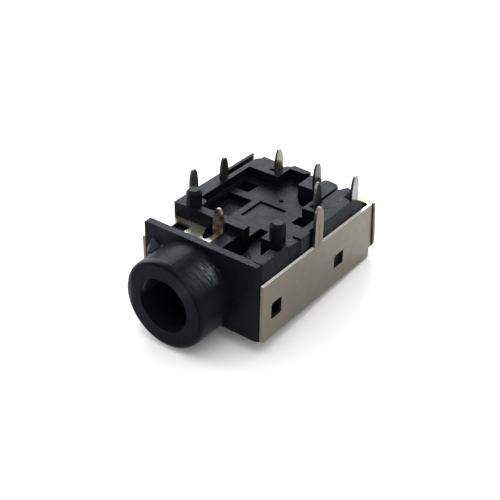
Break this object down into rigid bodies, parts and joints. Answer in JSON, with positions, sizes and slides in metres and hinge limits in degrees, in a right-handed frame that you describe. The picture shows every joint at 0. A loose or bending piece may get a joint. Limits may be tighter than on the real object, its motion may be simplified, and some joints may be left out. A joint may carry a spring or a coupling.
{
  "type": "audio jack socket",
  "caption": "Board-mount headphone socket: black moulded body with a round nose, folded metal shield, solder pins and sprung contacts for a 3.5 mm plug.",
  "frame": {"origin": "where the plug's axis crosses the flange's front face", "axes": "+Z toward the circuit board, along the solder pins; -Y out of the plug hole; +X toward the side with the shield's soldered tab"},
  "size_m": [0.0095, 0.0154, 0.0079],
  "materials": {
    "black_plastic": "satin moulded plastic",
    "shield_metal": "tin-plated sheet, satin",
    "terminal_metal": "tin-plated stamping",
    "spring_metal": "bright spring bronze"
  },
  "bodies": {
    "socket": {"housing": "black_plastic", "shield": "shield_metal", "sleeve_terminal": "terminal_metal", "mic_ring_terminal": "terminal_metal", "ring_terminal": "terminal_metal", "tip_terminal": "terminal_metal", "tip_switch_terminal": "terminal_metal", "detect_terminal": "terminal_metal"},
    "sleeve_leaf": {"sleeve_spring": "spring_metal"},
    "mic_ring_leaf": {"mic_ring_spring": "spring_metal"},
    "ring_leaf": {"ring_spring": "spring_metal"},
    "tip_leaf": {"tip_spring": "spring_metal"},
    "detect_leaf": {"detect_spring": "spring_metal"}
  },
  "joints": [
    {"name": "sleeve_flex", "type": "hinge", "parent": "socket", "child": "sleeve_leaf", "pos_m": [-0.00352, 0.00413, 0], "axis": [0, 0, -1], "range_deg": [0, 5.5], "stiffness_Nm_per_rad": 0.03},
    {"name": "mic_ring_flex", "type": "hinge", "parent": "socket", "child": "mic_ring_leaf", "pos_m": [0.00331, 0.00527, 0], "axis": [0, 0, 1], "range_deg": [0, 5.4], "stiffness_Nm_per_rad": 0.03},
    {"name": "ring_flex", "type": "hinge", "parent": "socket", "child": "ring_leaf", "pos_m": [0.00352, 0.00779, 0], "axis": [0, 0, 1], "range_deg": [0, 6.5], "stiffness_Nm_per_rad": 0.03},
    {"name": "tip_flex", "type": "hinge", "parent": "socket", "child": "tip_leaf", "pos_m": [-0.00278, 0.01093, 0], "axis": [0, 0, -1], "range_deg": [0, 9.5], "stiffness_Nm_per_rad": 0.03},
    {"name": "detect_flex", "type": "hinge", "parent": "socket", "child": "detect_leaf", "pos_m": [0.00197, 0.01082, 0], "axis": [0, 0, 1], "range_deg": [0, 7.6], "stiffness_Nm_per_rad": 0.03}
  ]
}
